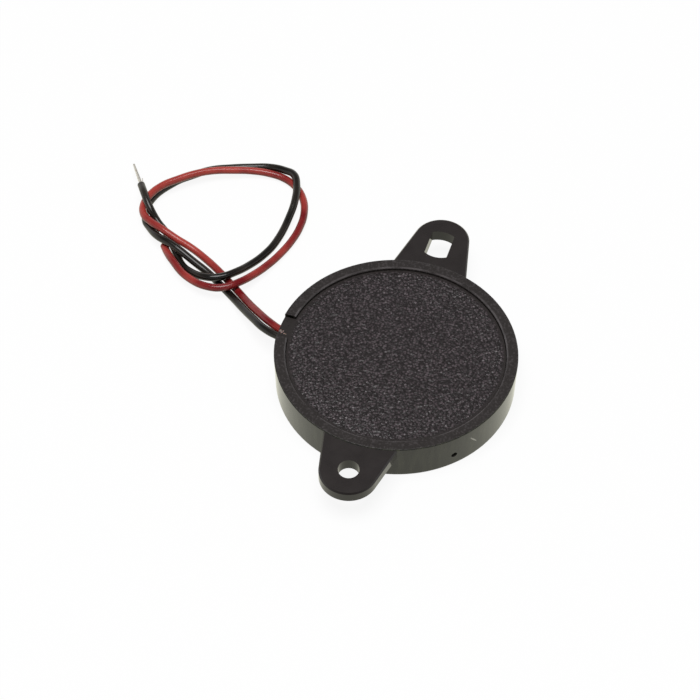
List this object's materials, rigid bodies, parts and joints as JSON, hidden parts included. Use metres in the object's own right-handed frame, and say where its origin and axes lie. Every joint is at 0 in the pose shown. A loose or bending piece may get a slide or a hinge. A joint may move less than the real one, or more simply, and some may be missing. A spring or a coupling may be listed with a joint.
{
  "type": "piezo buzzer",
  "caption": "Flat round piezo buzzer in a black moulded case with screw ears, a textured back cover let into the rim, and loose red and black lead wires with tinned ends.",
  "frame": {"origin": "middle of the front face, on the body's axis, at the sound port; the buzzer lies on this face with its back cover upwards", "axes": "+X along the ears towards the slotted one, +Y towards the notch where the leads leave, +Z from the front face to the back cover"},
  "size_m": [0.0715, 0.0826, 0.0072],
  "materials": {
    "case_plastic": "smooth moulded black ABS, satin on top and glossy round the wall",
    "cover_plastic": "black ABS moulded with a coarse spark-eroded texture",
    "brass": "rolled brass sheet",
    "silvered_ceramic": "piezo ceramic with a matt fired silver electrode",
    "silicone": "cured white silicone",
    "solder": "bright solder",
    "tinned_copper": "twisted copper strands dipped in tin",
    "red_pvc": "extruded red PVC insulation",
    "black_pvc": "extruded black PVC insulation",
    "lead_glue": "clear setting glue with a pinkish cast"
  },
  "bodies": {
    "root": {"case": "case_plastic", "back_cover": "cover_plastic", "diaphragm_plate": "brass", "ceramic_disc": "silvered_ceramic", "silicone_bead": "silicone", "red_joint": "solder", "black_joint": "solder", "red_core": "tinned_copper", "black_core": "tinned_copper", "red_lead": "red_pvc", "black_lead": "black_pvc", "red_tip": "tinned_copper", "black_tip": "tinned_copper", "lead_sealant": "lead_glue"}
  },
  "joints": []
}
